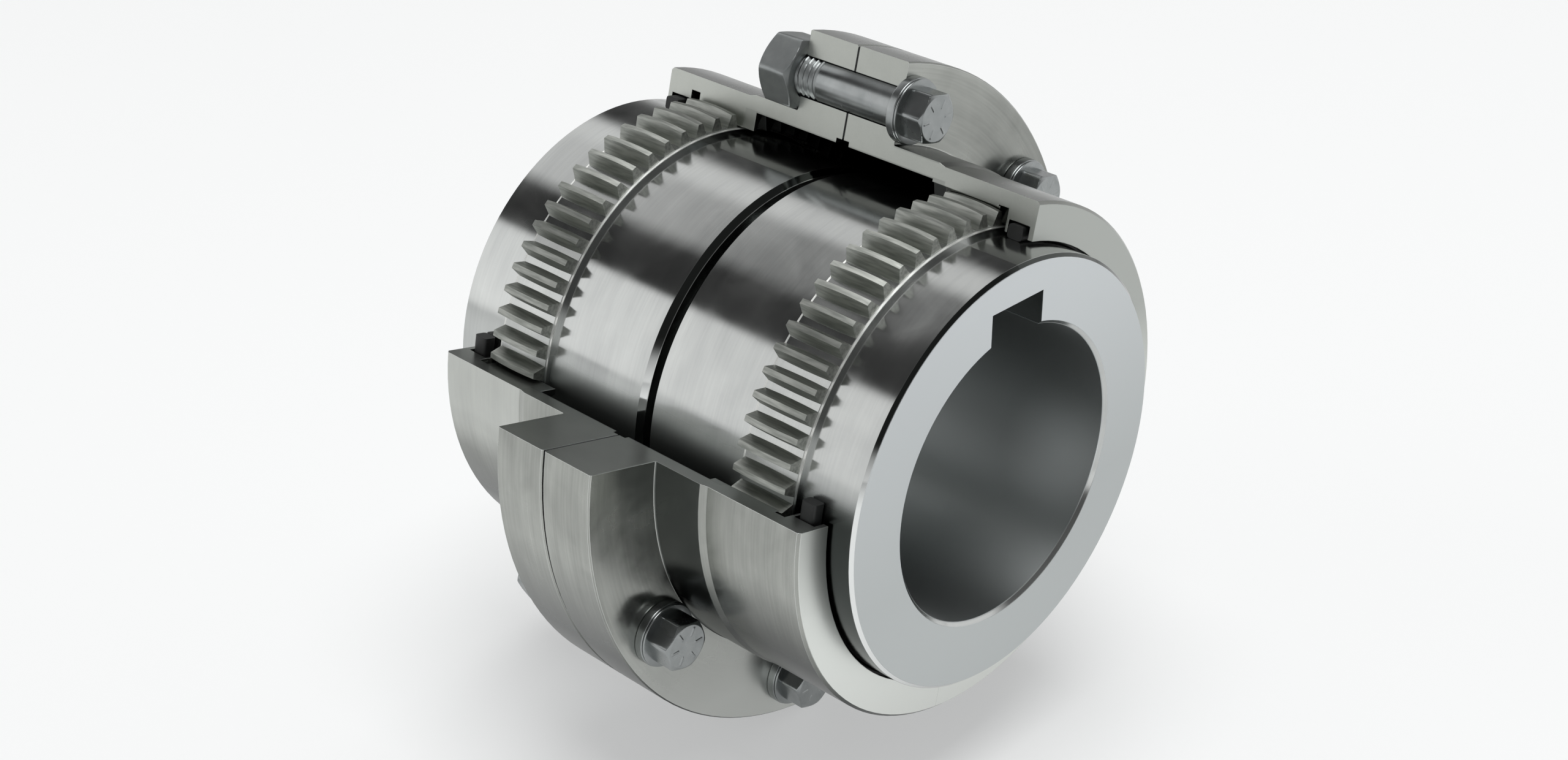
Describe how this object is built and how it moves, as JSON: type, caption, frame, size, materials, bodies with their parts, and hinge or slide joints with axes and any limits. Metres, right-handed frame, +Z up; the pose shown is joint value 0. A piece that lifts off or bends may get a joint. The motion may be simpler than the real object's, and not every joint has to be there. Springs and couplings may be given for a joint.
{
  "type": "gear coupling",
  "caption": "Flanged gear coupling, opened by a cutaway: toothed hubs float and tilt inside bolted flanged sleeves with internal teeth, sealed at both ends.",
  "frame": {"origin": "on the shaft axis, midway between the two flanges", "axes": "X is the shaft axis, with the bolt heads and the right hub towards +X; Z is up, with both keyways at the top; the cutaway opens towards -Y and up"},
  "size_m": [0.1872, 0.2397, 0.2364],
  "materials": {
    "hub_steel": "ground and polished",
    "sleeve_steel": "turned, with matte cut faces",
    "bolt_steel": "satin, with bright edges",
    "seal_rubber": "dull black",
    "gasket_fibre": "dark fibre"
  },
  "bodies": {
    "left_hub": {"hub_left": "hub_steel"},
    "left_seal": {"seal_left": "seal_rubber"},
    "sleeve_assembly": {"sleeve_left": "sleeve_steel", "sleeve_right": "sleeve_steel", "flange_gasket": "gasket_fibre", "bolt_1": "bolt_steel", "bolt_2": "bolt_steel", "bolt_3": "bolt_steel", "bolt_4": "bolt_steel", "bolt_5": "bolt_steel", "bolt_6": "bolt_steel", "washer_1": "bolt_steel", "washer_2": "bolt_steel", "washer_3": "bolt_steel", "washer_4": "bolt_steel", "washer_5": "bolt_steel", "washer_6": "bolt_steel", "nut_1": "bolt_steel", "nut_2": "bolt_steel", "nut_3": "bolt_steel", "nut_4": "bolt_steel", "nut_5": "bolt_steel", "nut_6": "bolt_steel", "grease_plug_left": "bolt_steel", "grease_plug_right": "bolt_steel"},
    "right_seal": {"seal_right": "seal_rubber"},
    "right_hub": {"hub_right": "hub_steel"}
  },
  "joints": [
    {"name": "left_hub_float", "type": "slide", "parent": "left_hub", "child": "left_seal", "axis": [1, 0, 0], "range_m": [-0.0005, 0.001]},
    {"name": "left_hub_tilt", "type": "hinge", "parent": "left_seal", "child": "sleeve_assembly", "pos_m": [-0.0584, 0, 0], "axis": [0, 1, 0], "range_deg": [-0.75, 0.75]},
    {"name": "right_hub_tilt", "type": "hinge", "parent": "sleeve_assembly", "child": "right_seal", "pos_m": [0.0584, 0, 0], "axis": [0, 1, 0], "range_deg": [-0.75, 0.75]},
    {"name": "right_hub_float", "type": "slide", "parent": "right_seal", "child": "right_hub", "axis": [1, 0, 0], "range_m": [-0.0005, 0.001]}
  ]
}
